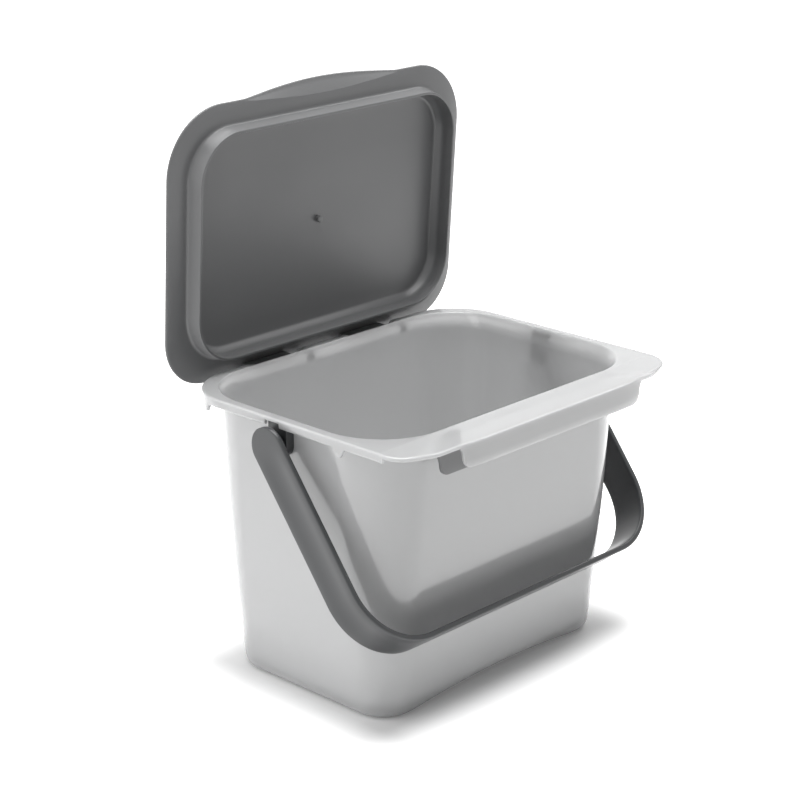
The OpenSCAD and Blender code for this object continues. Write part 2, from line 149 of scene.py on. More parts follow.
WORLD_FILL = 0.17
world = bpy.data.worlds.new("studio")
bpy.context.scene.world = world
tree = node_tree(world)
output = tree.nodes.new("ShaderNodeOutputWorld")
fill = tree.nodes.new("ShaderNodeBackground")
fill.inputs["Strength"].default_value = WORLD_FILL
white = tree.nodes.new("ShaderNodeBackground")
for shader in (fill, white):
    shader.inputs["Color"].default_value = (1, 1, 1, 1)
mix = tree.nodes.new("ShaderNodeMixShader")
clear_view = seen_directly(tree, "Is Camera Ray", "Is Glossy Ray", "Is Transmission Ray")
tree.links.new(clear_view, mix.inputs[0])
tree.links.new(fill.outputs[0], mix.inputs[1])
tree.links.new(white.outputs[0], mix.inputs[2])
tree.links.new(mix.outputs[0], output.inputs[0])
bpy.context.scene.view_settings.view_transform = "Standard"
print("world fill", WORLD_FILL)

# %% Table
TABLE_SIDE = 12.0
TABLE_WHITE = 0.86
GLOW_NEAR, GLOW_FAR = 0.10, 1.0
GLOW_REACH = 0.05
FOOTPRINT = (0.1025, 0.067, 0.0)
bpy.ops.mesh.primitive_plane_add(size=TABLE_SIDE, location=(0, 0, 0))
table = bpy.context.object
table.name = "table_top"
paper = bpy.data.materials.new("white_table")
tree = node_tree(paper)
output = tree.nodes.new("ShaderNodeOutputMaterial")
matt = tree.nodes.new("ShaderNodeBsdfDiffuse")
matt.inputs["Color"].default_value = (TABLE_WHITE, TABLE_WHITE, TABLE_WHITE, 1)
where = tree.nodes.new("ShaderNodeTexCoord")


def vector_step(source, operation, *values):
    """One step of vector maths on a socket."""
    node = tree.nodes.new("ShaderNodeVectorMath")
    node.operation = operation
    tree.links.new(source, node.inputs[0])
    if values:
        node.inputs[1].default_value = values
    return node.outputs["Value" if operation == "LENGTH" else "Vector"]


away = vector_step(vector_step(where.outputs["Object"], "SUBTRACT", 0, BUCKET_Y * MM, 0), "ABSOLUTE")
away = vector_step(vector_step(away, "SUBTRACT", *FOOTPRINT), "MAXIMUM", 0, 0, 0)
level = tree.nodes.new("ShaderNodeMapRange")
level.interpolation_type = "SMOOTHSTEP"
level.inputs["From Min"].default_value = 0.0
level.inputs["From Max"].default_value = GLOW_REACH
level.inputs["To Min"].default_value = GLOW_NEAR
level.inputs["To Max"].default_value = GLOW_FAR
glow = tree.nodes.new("ShaderNodeEmission")
glowing = tree.nodes.new("ShaderNodeAddShader")
mix = tree.nodes.new("ShaderNodeMixShader")
tree.links.new(vector_step(away, "LENGTH"), level.inputs["Value"])
tree.links.new(level.outputs["Result"], glow.inputs["Strength"])
tree.links.new(matt.outputs[0], glowing.inputs[0])
tree.links.new(glow.outputs[0], glowing.inputs[1])
tree.links.new(seen_directly(tree, "Is Camera Ray", "Is Glossy Ray"), mix.inputs[0])
tree.links.new(matt.outputs[0], mix.inputs[1])
tree.links.new(glowing.outputs[0], mix.inputs[2])
tree.links.new(mix.outputs[0], output.inputs[0])
table.data.materials.append(paper)
print("table glow", GLOW_NEAR, "to", GLOW_FAR)

# %% [markdown]
# ## Finishes
# The caddy has three finishes. The light plastic is milky, so light scatters under its
# surface, and a clear coat gives the crisper reflections that show the bail in the walls. The
# lid's dark plastic is satin, without a coat, so its flat panel doesn't act as a mirror. Its base
# colour is lighter than the bail's: that lightness is painted light on the lid's panel, which the
# lamps light too little. The bail's is a little glossier, under a thin coat. Moulded plastic is
# never quite even: a slow noise shifts the colour a little along the flow of the melt, a finer one
# changes the gloss, and a very fine one gives a bump far below a tenth of a millimetre. All
# patterns read Object coordinates, so they stay on the piece from every side.


# %% Plastic
def noise(tree, scale, stretch, detail=3.0):
    """A noise texture on Object coordinates, stretched along one or more axes."""
    where = tree.nodes.new("ShaderNodeTexCoord")
    turn = tree.nodes.new("ShaderNodeMapping")
    turn.inputs["Scale"].default_value = stretch
    texture = tree.nodes.new("ShaderNodeTexNoise")
    texture.inputs["Scale"].default_value = scale
    texture.inputs["Detail"].default_value = detail
    tree.links.new(where.outputs["Object"], turn.inputs["Vector"])
    tree.links.new(turn.outputs["Vector"], texture.inputs["Vector"])
    return texture.outputs["Fac"]


def ramp(tree, source, low, high, low_at=0.3, high_at=0.7):
    """A colour ramp from low to high; each end is a grey level or a colour."""
    node = tree.nodes.new("ShaderNodeValToRGB")
    node.color_ramp.elements[0].position = low_at
    node.color_ramp.elements[1].position = high_at
    for element, level in zip(node.color_ramp.elements, (low, high)):
        colour = level if isinstance(level, tuple) else (level, level, level)
        element.color = (*colour, 1)
    tree.links.new(source, node.inputs["Fac"])
    return node.outputs["Color"]


FLOW_SCALE, HAZE_SCALE, GRAIN_SCALE = 5.0, 22.0, 260.0
ALONG_FLOW, EVEN = (1.0, 1.0, 0.35), (1.0, 1.0, 1.0)
GRAIN_STRENGTH, GRAIN_DEPTH = 0.05, 0.00001
SCATTER_DEPTH = 0.012
COAT_HAZE = 0.07


def plastic(name, dark_tone, light_tone, gloss, milk, ior, coat):
    """Glossy moulded plastic. gloss is the range of the roughness, milk the share of scattering."""
    material = bpy.data.materials.new(name)
    tree = node_tree(material)
    output = tree.nodes.new("ShaderNodeOutputMaterial")
    shader = tree.nodes.new("ShaderNodeBsdfPrincipled")
    flow = noise(tree, FLOW_SCALE, ALONG_FLOW, 1.0)
    tree.links.new(ramp(tree, flow, dark_tone, light_tone), shader.inputs["Base Color"])
    haze = noise(tree, HAZE_SCALE, EVEN, 2.0)
    tree.links.new(ramp(tree, haze, gloss[0], gloss[1]), shader.inputs["Roughness"])
    grain = tree.nodes.new("ShaderNodeBump")
    grain.inputs["Strength"].default_value = GRAIN_STRENGTH
    grain.inputs["Distance"].default_value = GRAIN_DEPTH
    tree.links.new(noise(tree, GRAIN_SCALE, EVEN, 1.0), grain.inputs["Height"])
    tree.links.new(grain.outputs["Normal"], shader.inputs["Normal"])
    shader.inputs["IOR"].default_value = ior
    shader.inputs["Subsurface Weight"].default_value = milk
    shader.inputs["Subsurface Radius"].default_value = (SCATTER_DEPTH, SCATTER_DEPTH, SCATTER_DEPTH)
    shader.inputs["Subsurface Scale"].default_value = 1.0
    shader.inputs["Coat Weight"].default_value = coat
    shader.inputs["Coat Roughness"].default_value = COAT_HAZE
    tree.links.new(shader.outputs[0], output.inputs[0])
    print("finish:", name)
    return material


light_plastic = plastic(
    "light_grey_plastic", (0.465, 0.468, 0.472), (0.480, 0.483, 0.487), (0.17, 0.22), 0.8, 1.47, 0.6)
# The lid's plastic gets a lighter base colour than the bail's: painted light on the lid's panel.
lid_plastic_painted_light = plastic(
    "lid_grey_plastic_painted_light", (0.146, 0.148, 0.151), (0.157, 0.159, 0.162), (0.34, 0.40), 0.0, 1.6, 0.0)
bail_plastic = plastic(
    "bail_grey_plastic", (0.048, 0.050, 0.053), (0.054, 0.056, 0.059), (0.28, 0.34), 0.0, 1.45, 0.2)

# %% [markdown]
# ## Two ways to make a piece
# Thin moulded shells are made here by pulling rings. A circle is added, its points are put on
# the first outline, and its edge is extruded again and again, each time onto the next outline.
# That keeps the mesh in clean rows, so the walls shade smoothly. Flat pieces are made from one
# outline that is filled, extruded to its thickness and bevelled.


# %% Helpers
def deselect():
    """Leaves edit mode and deselects everything, as an operator acts on all that is selected."""
    if bpy.context.object and bpy.context.object.mode != "OBJECT":
        bpy.ops.object.mode_set(mode="OBJECT")
    bpy.ops.object.select_all(action="DESELECT")


def outline_circle(name, places):
    """Adds a circle, moves its points onto the outline (in mm), and opens it in edit mode."""
    deselect()
    bpy.ops.mesh.primitive_circle_add(vertices=len(places), radius=1.0)
    piece = bpy.context.object
    piece.name = name
    piece.data.name = name
    for vertex, place in zip(piece.data.vertices, places):
        vertex.co = in_frame(place)
    bpy.ops.object.mode_set(mode="EDIT")
    bpy.ops.mesh.select_all(action="SELECT")
    return piece


def pull_rings(name, rings):
    """Extrudes the first ring's edge onto each next ring, then closes both ends."""
    piece = outline_circle(name, rings[0])
    count = len(rings[0])
    slot_of = {i: i for i in range(count)}
    for step, ring in enumerate(rings[1:], 1):
        bpy.ops.mesh.extrude_edges_move()
        mesh = bmesh.from_edit_mesh(piece.data)
        mesh.verts.index_update()
        mesh.verts.ensure_lookup_table()
        for index in range(step * count, (step + 1) * count):
            vertex = mesh.verts[index]
            source = min(edge.other_vert(vertex).index for edge in vertex.link_edges)
            slot_of[index] = slot_of[source]
            vertex.co = in_frame(ring[slot_of[index]])
        bmesh.update_edit_mesh(piece.data)
    bpy.ops.mesh.edge_face_add()
    bpy.ops.mesh.select_all(action="DESELECT")
    mesh = bmesh.from_edit_mesh(piece.data)
    mesh.verts.ensure_lookup_table()
    for index in range(count):
        mesh.verts[index].select = True
    mesh.select_flush(True)
    bpy.ops.mesh.edge_face_add()
    bpy.ops.mesh.select_all(action="SELECT")
    bpy.ops.mesh.normals_make_consistent(inside=False)
    bpy.ops.object.mode_set(mode="OBJECT")
    return piece


def cut_plate(name, places, thickness, edge=0.5, segments=3):
    """Fills an outline, extrudes it by the thickness (a vector in mm) and rounds its edges."""
    piece = outline_circle(name, places)
    bpy.ops.mesh.edge_face_add()
    bpy.ops.mesh.extrude_region_move(
        TRANSFORM_OT_translate={"value": Vector(thickness) * MM})
    bpy.ops.mesh.select_all(action="SELECT")
    bpy.ops.mesh.normals_make_consistent(inside=False)
    bpy.ops.object.mode_set(mode="OBJECT")
    if edge:
        soften(piece, edge, segments)
    return piece


BEVEL_ANGLE = 35


def soften(piece, width, segments=3):
    """Rounds the sharp edges of a piece with a bevel modifier, which is applied."""
    bevel = piece.modifiers.new("soft_edges", "BEVEL")
    bevel.width = width * MM
    bevel.segments = segments
    bevel.limit_method = "ANGLE"
    bevel.angle_limit = math.radians(BEVEL_ANGLE)
    bpy.ops.object.modifier_apply(modifier=bevel.name)


def finish(piece, material, body, smooth_angle=40):
    """Gives a piece its material and smooth shading, and lets it ride on its body."""
    deselect()
    piece.select_set(True)
    bpy.context.view_layer.objects.active = piece
    piece.data.materials.clear()
    piece.data.materials.append(material)
    bpy.ops.object.shade_smooth_by_angle(angle=math.radians(smooth_angle))
    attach(piece, body)
    print(piece.name, "has", len(piece.data.polygons), "faces")
    return piece


def join(piece, *others):
    """Joins pieces of one moulding into one object."""
    deselect()
    for other in (piece, *others):
        other.select_set(True)
    bpy.context.view_layer.objects.active = piece
    bpy.ops.object.join()
    return piece


# %% [markdown]
# ## The bucket
# The bucket is one injection moulding: tapered walls, a floor over a low arch, a rim with a
# turned-down edge, and a wide front lip. Outlines at every height are rounded rectangles, and
# the rim's outline has a bowed front. Each outline is walked in the same eight stretches, with
# the same number of points, so that any two of them can be joined by clean rows of faces.

# %% Bucket sizes, in mm
BASE_W, BASE_D = 205.0, 134.0
RIM_H = 185.0
LEAN, BELLY = 13.8, 0.43
BASE_R, MOUTH_R = 22.0, 41.0
WALL = 2.2
FOOT_R = 6.0
ARCH_H, ARCH_W = 4.5, 150.0
FLOOR_Z, FLOOR_R = 7.0, 8.0
PLATE = 2.6
RIM_R, LIP_END_R, LIP_BOW_R, LIP_FLAT = 38.0, 15.0, 150.0, 60.0


def climb(z):
    return min(1.0, max(0.0, z / RIM_H))


def spread(z):
    """How far the walls have leaned out at height z."""
    return LEAN * (climb(z) + BELLY * climb(z) * (1 - climb(z)))


def corner_radius(z):
    return BASE_R + (MOUTH_R - BASE_R) * climb(z)


RIM_SIDE, RIM_REAR, LIP_OUT, RIDGE_OUT = 8.7, 6.2, 29.7, 3.5
MOUTH_HW = BASE_W / 2 + spread(RIM_H - PLATE)
MOUTH_HD = BASE_D / 2 + spread(RIM_H - PLATE)
RIM_HW = MOUTH_HW + RIM_SIDE
REAR_Y = MOUTH_HD + RIM_REAR
LIP_Y = -MOUTH_HD - LIP_OUT
RIDGE_Y = -MOUTH_HD - RIDGE_OUT
print("rim half width", round(RIM_HW, 3), "lip at", round(LIP_Y, 3), "rear edge at", round(REAR_Y, 3))


# %% Stretches of the outline
def between(a, b, step):
    """Evenly spaced numbers from a up to, but without, b."""
    count = max(1, round((b - a) / step))
    return [a + (b - a) * i / count for i in range(count)]


NOTCH_IN, NOTCH_OUT = 20.0, 66.0
PIVOT_FRONT, PIVOT_BACK = -4.0, 8.3
TOOTH_FRONT, TOOTH_BACK = -52.0, 63.0
STEP = 0.35
CORNER_STEPS = 40
lip_turn = math.acos((RIM_HW - LIP_END_R - LIP_FLAT) / (LIP_BOW_R - LIP_END_R))
lip_centre_y = LIP_Y + LIP_BOW_R
end_centre_y = lip_centre_y - (LIP_BOW_R - LIP_END_R) * math.sin(lip_turn)
FRONT_END = RIM_HW - LIP_END_R + LIP_END_R * math.cos(lip_turn)
SIDE_FRONT, SIDE_BACK = end_centre_y, REAR_Y - RIM_R
REAR_END = RIM_HW - RIM_R

side_ys = (
    between(SIDE_FRONT, -57.0, 3.0) + between(-57.0, -47.0, 0.9)
    + between(-47.0, PIVOT_FRONT, 4.0) + [PIVOT_FRONT, PIVOT_FRONT + STEP]
    + between(0.0, PIVOT_BACK - STEP, 2.5) + [PIVOT_BACK - STEP, PIVOT_BACK]
    + between(12.0, SIDE_BACK, 4.0) + [SIDE_BACK]
)
rear_half = (
    between(0.0, NOTCH_IN - STEP, 4.0) + [NOTCH_IN - STEP, NOTCH_IN]
    + between(NOTCH_IN + STEP, NOTCH_OUT, 3.0) + [NOTCH_OUT, NOTCH_OUT + STEP]
    + between(NOTCH_OUT + 3, REAR_END, 3.0) + [REAR_END]
)
front_half = (
    between(0.0, 48.0, 3.0) + between(48.0, 72.0, 1.6) + between(72.0, 88.0, 0.7)
    + between(88.0, FRONT_END, 2.5) + [FRONT_END]
)
side_shares = [(y - SIDE_FRONT) / (SIDE_BACK - SIDE_FRONT) for y in side_ys]
rear_shares = [x / REAR_END for x in reversed(rear_half)] + [-x / REAR_END for x in rear_half[1:]]
front_shares = [-x / FRONT_END for x in reversed(front_half)] + [x / FRONT_END for x in front_half[1:]]
print("points round the outline:",
      2 * len(side_shares) + len(rear_shares) + len(front_shares) + 4 * (CORNER_STEPS - 1))


# %% Outlines
def corner(x, y, radius, start, turn=90.0):
    """Points of a corner, without its two ends. Angles are in degrees."""
    angles = [math.radians(start + turn * i / CORNER_STEPS) for i in range(1, CORNER_STEPS)]
    return [(x + radius * math.cos(a), y + radius * math.sin(a)) for a in angles]


def tray(half_width, front, rear, front_r, rear_r):
    """A rounded rectangle."""
    side = [(front + front_r) + ((rear - rear_r) - (front + front_r)) * s for s in side_shares]
    points = [(half_width, y) for y in side]
    points += corner(half_width - rear_r, rear - rear_r, rear_r, 0)
    points += [(s * (half_width - rear_r), rear) for s in rear_shares]
    points += corner(rear_r - half_width, rear - rear_r, rear_r, 90)
    points += [(-half_width, y) for y in reversed(side)]
    points += corner(front_r - half_width, front + front_r, front_r, 180)
    points += [(s * (half_width - front_r), front) for s in front_shares]
    points += corner(half_width - front_r, front + front_r, front_r, 270)
    return points


def wall_line(z, inset):
    """The outer wall's outline at height z, drawn in by inset."""
    half_w = BASE_W / 2 + spread(z) - inset
    half_d = BASE_D / 2 + spread(z) - inset
    radius = corner_radius(z) - inset
    return tray(half_w, -half_d, half_d, radius, radius)


def lip_point(share, inset):
    """A point of the front lip's edge: straight in the middle, bowed to both sides."""
    x = abs(share) * FRONT_END
    if x <= LIP_FLAT:
        return (math.copysign(x, share), LIP_Y + inset)
    turn = math.asin((x - LIP_FLAT) / LIP_BOW_R)
    reach = LIP_FLAT + (LIP_BOW_R - inset) * math.sin(turn)
    return (math.copysign(reach, share), lip_centre_y - (LIP_BOW_R - inset) * math.cos(turn))


def rim_line(inset):
    """The rim's outline, drawn in by inset, with its two hinge notches."""
    turn = math.degrees(lip_turn)
    end_x, end_r = RIM_HW - LIP_END_R, LIP_END_R - inset
    points = [(RIM_HW - inset, y) for y in side_ys]
    points += corner(REAR_END, SIDE_BACK, RIM_R - inset, 0)
    points += [(s * REAR_END, notched(s * REAR_END, REAR_Y - inset, inset)) for s in rear_shares]
    points += corner(-REAR_END, SIDE_BACK, RIM_R - inset, 90)
    points += [(inset - RIM_HW, y) for y in reversed(side_ys)]
    points += corner(-end_x, end_centre_y, end_r, 180, turn)
    points += [lip_point(s, inset) for s in front_shares]
    points += corner(end_x, end_centre_y, end_r, 360 - turn, turn)
    return points


NOTCH_Y = 82.6


def notched(x, y, inset):
    """Draws the rear edge in where a hinge arm passes."""
    inside = NOTCH_IN - STEP / 2 < abs(x) < NOTCH_OUT + STEP / 2
    return min(y, NOTCH_Y - 0.3 * inset) if inside else y


# %% [markdown]
# The rim's edge is turned down by a different depth all the way round: a low edge at the
# sides and the rear, none over the pivots and the hinges, small teeth in four places, and a
# deep skirt at the front that a hand can grip. One function says how deep it is at a point.

# %% Depth of the turned-down edge
EDGE = 5.5
TOOTH, TOOTH_REACH, TOOTH_SLOPE = 5.4, 4.5, 2.8
GRIP_H, GRIP_HW, GRIP_END_R, GRIP_SWEEP_R = 15.6, 80.5, 6.5, 9.0
rim_edge_line = rim_line(0)


def grip_depth(x):
    """The skirt's depth: level, then a round corner, then a hollow sweep up to the lip."""
    bend = GRIP_HW - GRIP_END_R
    if x <= bend:
        return GRIP_H
    if x <= GRIP_HW:
        return GRIP_H - GRIP_END_R + math.sqrt(max(0, GRIP_END_R ** 2 - (x - bend) ** 2))
    sweep = GRIP_HW + GRIP_SWEEP_R - x
    if sweep <= 0:
        return PLATE
    return max(PLATE, GRIP_H - GRIP_END_R - math.sqrt(max(0, GRIP_SWEEP_R ** 2 - sweep ** 2)))


def edge_depth(x, y):
    """Depth of the turned-down edge at a point of the rim's outline."""
    if y < SIDE_FRONT - 1:
        return grip_depth(abs(x)) if y < -100 else PLATE
    if abs(x) > RIM_HW - 12:
        if PIVOT_FRONT + STEP / 2 < y < PIVOT_BACK - STEP / 2:
            return PLATE
        for middle in (TOOTH_FRONT, TOOTH_BACK):
            away = abs(y - middle)
            if away < TOOTH_REACH:
                return EDGE + TOOTH * min(1.0, (TOOTH_REACH - away) / TOOTH_SLOPE)
    if y < NOTCH_Y + 1 and abs(x) < NOTCH_OUT + 1:
        return PLATE
    return EDGE


depths = [edge_depth(x, y) for x, y in rim_edge_line]
print("deepest", max(depths), "mm, shallowest", min(depths), "mm")

# %% [markdown]
# The corners of the front lip droop a little, from a line on each side of its level middle.
# Adding that after the flat shape is laid out keeps both steps simple.

# %% Droop of the lip's corners and the arch under the base
DROOP = math.tan(math.radians(5.0))
DIAGONAL_X, DIAGONAL_SLOPE = 52.0, 32.0 / 26.2
SOFT_REACH = 26.0


def droop(x, y):
    """How far a point of the lip lies below the level rim."""
    ahead = RIDGE_Y - y
    if ahead <= 0:
        return 0.0
    past = abs(x) - (DIAGONAL_X + DIAGONAL_SLOPE * ahead)
    share = min(1.0, max(0.0, past / SOFT_REACH))
    return ahead * DROOP * share * share * (3 - 2 * share)


arch_r = ((ARCH_W / 2) ** 2 + ARCH_H ** 2) / (2 * ARCH_H)


def arch(x):
    """Height of the arch under the base."""
    if abs(x) >= ARCH_W / 2:
        return 0.0
    return ARCH_H - arch_r + math.sqrt(arch_r ** 2 - x * x)


def at_height(line, z):
    """A ring of the lip or rim at height z, with the droop of the lip's corners."""
    return [(x, y, z - droop(x, y)) for x, y in line]


ARCH_FADE = 16.0


def foot_ring(line, z):
    """A ring near the base, lifted by the arch, which fades out up the wall."""
    fade = max(0.0, 1 - z / ARCH_FADE)
    return [(x, y, z + arch(x) * fade) for x, y in line]


def shrunk(line, share, z_of):
    """A ring drawn in towards the middle, at the height that z_of gives for its x."""
    return [(x * share, y * share, z_of(x * share)) for x, y in line]


def blend(line_a, line_b, share):
    return [(ax + (bx - ax) * share, ay + (by - ay) * share)
            for (ax, ay), (bx, by) in zip(line_a, line_b)]


# %% Rings from the middle of the base, up the outside, over the rim and down inside
rim_bottom = RIM_H - PLATE
FUNNEL_R = 4.6
FUNNEL_H = 10.5
funnel_z = RIM_H - FUNNEL_H
rings = []

base_line = wall_line(0, FOOT_R)
for share in (0.03, 0.15, 0.3, 0.45, 0.6, 0.75, 0.88):
    rings.append(shrunk(base_line, share, arch))
for turn in range(0, 91, 15):
    z = FOOT_R * (1 - math.cos(math.radians(turn)))
    rings.append(foot_ring(wall_line(z, FOOT_R * (1 - math.sin(math.radians(turn)))), z))
for z in (9, 12, 16, 24, 36, 50, 66, 84, 102, 120, 138, 154, 168, 178, rim_bottom - 1.5):
    rings.append(foot_ring(wall_line(z, 0), z))

FILLET = 1.5
EDGE_T = 2.0
under_line, edge_inner = wall_line(rim_bottom, -FILLET), rim_line(EDGE_T)
for share in (0.0, 0.33, 0.66, 1.0):
    rings.append(at_height(blend(under_line, edge_inner, share), rim_bottom))
for share in (0.5, 1.0):
    rings.append([(x, y, rim_bottom - droop(x, y) - share * (depth - PLATE - 0.01))
                  for (x, y), depth in zip(edge_inner, depths)])
for inset, lift in ((1.6, 0.0), (1.0, 0.0), (0.35, 0.1), (0.0, 0.5)):
    rings.append([(x, y, RIM_H - droop(x, y) - depth + lift)
                  for (x, y), depth in zip(rim_line(inset), depths)])
for share in (0.66, 0.33):
    rings.append([(x, y, RIM_H - droop(x, y) - 1.2 - share * (depth - 1.7))
                  for (x, y), depth in zip(rim_line(0), depths)])
TOP_ROUND = 1.2
for turn in range(0, 91, 18):
    inset = TOP_ROUND * (1 - math.cos(math.radians(turn)))
    z = RIM_H - TOP_ROUND + TOP_ROUND * math.sin(math.radians(turn))
    rings.append(at_height(rim_line(inset), z))

MOUTH_REAR_TRIM = 1.6
funnel_top = RIM_H - FUNNEL_R
RIDGE_SIDE, RIDGE_REAR, RIDGE_FRONT_R = 3.0, 4.7, 7.0
ridge_line = tray(RIM_HW - RIDGE_SIDE, RIDGE_Y, REAR_Y - RIDGE_REAR, RIDGE_FRONT_R, MOUTH_R)
rim_top_line = rim_line(TOP_ROUND)
for share in (0.06, 0.15, 0.27, 0.39, 0.51, 0.63, 0.75, 0.87, 0.96):
    rings.append(at_height(blend(rim_top_line, ridge_line, share), RIM_H))
rings.append(at_height(ridge_line, RIM_H))


def mouth_line(z, out):
    """The inner wall's outline at height z, widened by out, a little less at the rear."""
    wide = min(z, funnel_top)
    half_w = BASE_W / 2 + spread(wide) - WALL + out
    half_d = BASE_D / 2 + spread(wide) - WALL + out
    radius = corner_radius(wide) - WALL + out
    rear = half_d - MOUTH_REAR_TRIM * out / FUNNEL_R
    return tray(half_w, -half_d, rear, radius, radius)


for out, drop in ((0.55, 0.0), (0.25, 0.04), (0.05, 0.18)):
    rings.append([(x, y, RIM_H - drop) for x, y in mouth_line(RIM_H, FUNNEL_R + out)])
for share in (0.05, 0.12, 0.22, 0.34, 0.48, 0.64, 0.82):
    z = RIM_H - FUNNEL_H * share
    rings.append([(x, y, z) for x, y in mouth_line(z, FUNNEL_R * (1 - share) ** 2)])
for z in (funnel_z, 168, 160, 145, 128, 110, 92, 74, 56, 40, 26, FLOOR_Z + FLOOR_R):
    rings.append([(x, y, z) for x, y in wall_line(z, WALL)])
for turn in (75, 60, 45, 30, 15, 0):
    inset = WALL + FLOOR_R * (1 - math.sin(math.radians(turn)))
    z = FLOOR_Z + FLOOR_R * (1 - math.cos(math.radians(turn)))
    rings.append([(x, y, z) for x, y in wall_line(z, inset)])
floor_line = wall_line(FLOOR_Z, WALL + FLOOR_R)
for share in (0.8, 0.5, 0.25, 0.03):
    rings.append(shrunk(floor_line, share, lambda x: FLOOR_Z))
bucket_shell = pull_rings("bucket_shell", rings)
print("bucket rings:", len(rings))
finish(bucket_shell, light_plastic, "body", 50)
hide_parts("bucket")

# %% [markdown]
# ## The lid
# The lid is modelled closed, where its outlines are level, and is then turned open about the
# hinge. It is one moulding too: a flat panel that is raised above a wide brim, a collar that
# plugs into the bucket, a finger grip in front, and two hinge arms at the rear. The brim
# curls up a little towards its edge, so it never scrapes along the rim. Once the lid is open
# the raised finger grip would stand higher, so its bow is made that much shorter.

# %% Lid sizes, in mm
LID_OPEN = 86.3
BRIM_Z = 185.6
BRIM_HW, BRIM_FRONT, BRIM_REAR = RIM_HW + 2.2, -MOUTH_HD - 5.0, REAR_Y + 2.9
BRIM_FRONT_R, BRIM_REAR_R = 42.0, 33.0
BRIM_CURL = 2.0
COLLAR_HW, COLLAR_FRONT, COLLAR_REAR, COLLAR_R = 111.4, -71.0, 74.2, 31.0
COLLAR_H, COLLAR_T, COLLAR_DRAFT = 10.2, 2.0, 0.8
PANEL_UNDER, PANEL_TOP = 189.0, 190.8
PANEL_IN = 2.9
TAB_HW, GRIP_RISE = 66.0, 4.0
TAB_OUT = 4.4 - GRIP_RISE * math.cos(math.radians(LID_OPEN))


def brim_line(inset):
    """The brim's outline with the shallow bow of the finger grip."""
    line = tray(BRIM_HW - inset, BRIM_FRONT + inset, BRIM_REAR - inset,
                BRIM_FRONT_R - inset, BRIM_REAR_R - inset)
    return [(x, y - grip_bow(x) if y < BRIM_FRONT + 12 else y) for x, y in line]


def grip_bow(x):
    share = min(1.0, abs(x) / TAB_HW)
    return TAB_OUT * (1 - share * share) ** 1.3


def collar_line(grow):
    return tray(COLLAR_HW + grow, COLLAR_FRONT - grow, COLLAR_REAR + grow,
                COLLAR_R + grow, COLLAR_R + grow)


def level(line, z):
    return [(x, y, z) for x, y in line]


# %% Rings from the middle of the underside, over the collar and brim, to the middle of the top
def towards_middle(line, share):
    middle = (COLLAR_FRONT + COLLAR_REAR) / 2
    return [(x * share, middle + (y - middle) * share) for x, y in line]


panel_line = collar_line(-COLLAR_T - PANEL_IN)
lid_rings = []
for share in (0.03, 0.3, 0.6, 0.9, 0.985):
    lid_rings.append(level(towards_middle(panel_line, share), PANEL_UNDER))
lid_rings.append(level(panel_line, PANEL_UNDER - 0.15))
tip_z = BRIM_Z - COLLAR_H
collar_section = (
    (-COLLAR_T - PANEL_IN + 0.5, PANEL_UNDER - 0.6),
    (-COLLAR_T - 0.9, BRIM_Z + 0.2),
    (-COLLAR_T - 0.3, BRIM_Z - 0.8),
    (-COLLAR_T - 0.1, BRIM_Z - 3.0),
    (-COLLAR_T + 0.1, tip_z + 0.6),
    (-COLLAR_T + 0.35, tip_z + 0.1),
    (-COLLAR_T + 0.7, tip_z),
    (-0.7, tip_z),
    (-0.2, tip_z + 0.2),
    (0.0, tip_z + 0.8),
    (COLLAR_DRAFT * 0.7, BRIM_Z - 2.4),
)
for grow, z in collar_section:
    lid_rings.append(level(collar_line(grow), z))
ROOT_R = 2.0
for turn in range(0, 91, 18):
    out = COLLAR_DRAFT + ROOT_R * (1 - math.cos(math.radians(turn)))
    lid_rings.append(level(collar_line(out), BRIM_Z - ROOT_R + ROOT_R * math.sin(math.radians(turn))))
root_line = collar_line(COLLAR_DRAFT + ROOT_R)
BRIM_EDGE_R = 0.9


BRIM_T = 2 * BRIM_EDGE_R
GRIP_WIDTH, CREASE = 0.5, 0.97


def grip_share(x, y):
    """1 in the middle of the finger grip, 0 at its ends and everywhere else."""
    return max(0.0, 1 - (x / TAB_HW) ** 2) if y < BRIM_FRONT + 12 else 0.0


def brim_ring(inner, stage, lift):
    """A ring of the brim: stage 0 is the inner line, 1 the grip's crease and 2 the brim's edge."""
    ring = []
    for (ax, ay), (bx, by) in zip(inner, brim_line(BRIM_EDGE_R)):
        grip = grip_share(bx, by)
        crease = CREASE - GRIP_WIDTH * grip
        beyond = max(0.0, stage - 1)
        share = crease * min(1.0, stage) + (1 - crease) * beyond
        rise = BRIM_CURL * share ** 2 + GRIP_RISE * grip * beyond
        ring.append((ax + (bx - ax) * share, ay + (by - ay) * share, BRIM_Z + lift + rise))
    return ring


for stage in (0.2, 0.4, 0.6, 0.8, 0.97, 1.0, 1.03, 1.35, 1.7, 2.0):
    lid_rings.append(brim_ring(root_line, stage, 0.0))
for turn in (-60, -30, 0, 30, 60, 90):
    inset = BRIM_EDGE_R * (1 - math.cos(math.radians(turn)))
    z = BRIM_Z + BRIM_CURL + BRIM_EDGE_R * (1 + math.sin(math.radians(turn)))
    lid_rings.append([(x, y, z + GRIP_RISE * grip_share(x, y)) for x, y in brim_line(inset)])
crown_foot = collar_line(1.5)
for stage in (1.7, 1.35, 1.0, 0.8, 0.55, 0.3, 0.0):
    lid_rings.append(brim_ring(crown_foot, stage, BRIM_T))
lid_rings.append(level(collar_line(0.9), BRIM_Z + BRIM_T + 0.25))
lid_rings.append(level(collar_line(-1.6), PANEL_TOP - 0.35))
lid_rings.append(level(collar_line(-2.2), PANEL_TOP - 0.08))
for share in (0.97, 0.85, 0.6, 0.3, 0.03):
    lid_rings.append(level(towards_middle(collar_line(-2.2), share), PANEL_TOP))
lid_shell = pull_rings("lid_shell", lid_rings)
print("lid rings:", len(lid_rings))

# %% [markdown]
# Each hinge arm ends in a round barrel with a pin on its right-hand side. Its outline is a
# circle whose upper half is lifted into the brim. It is extruded to the arm's width.

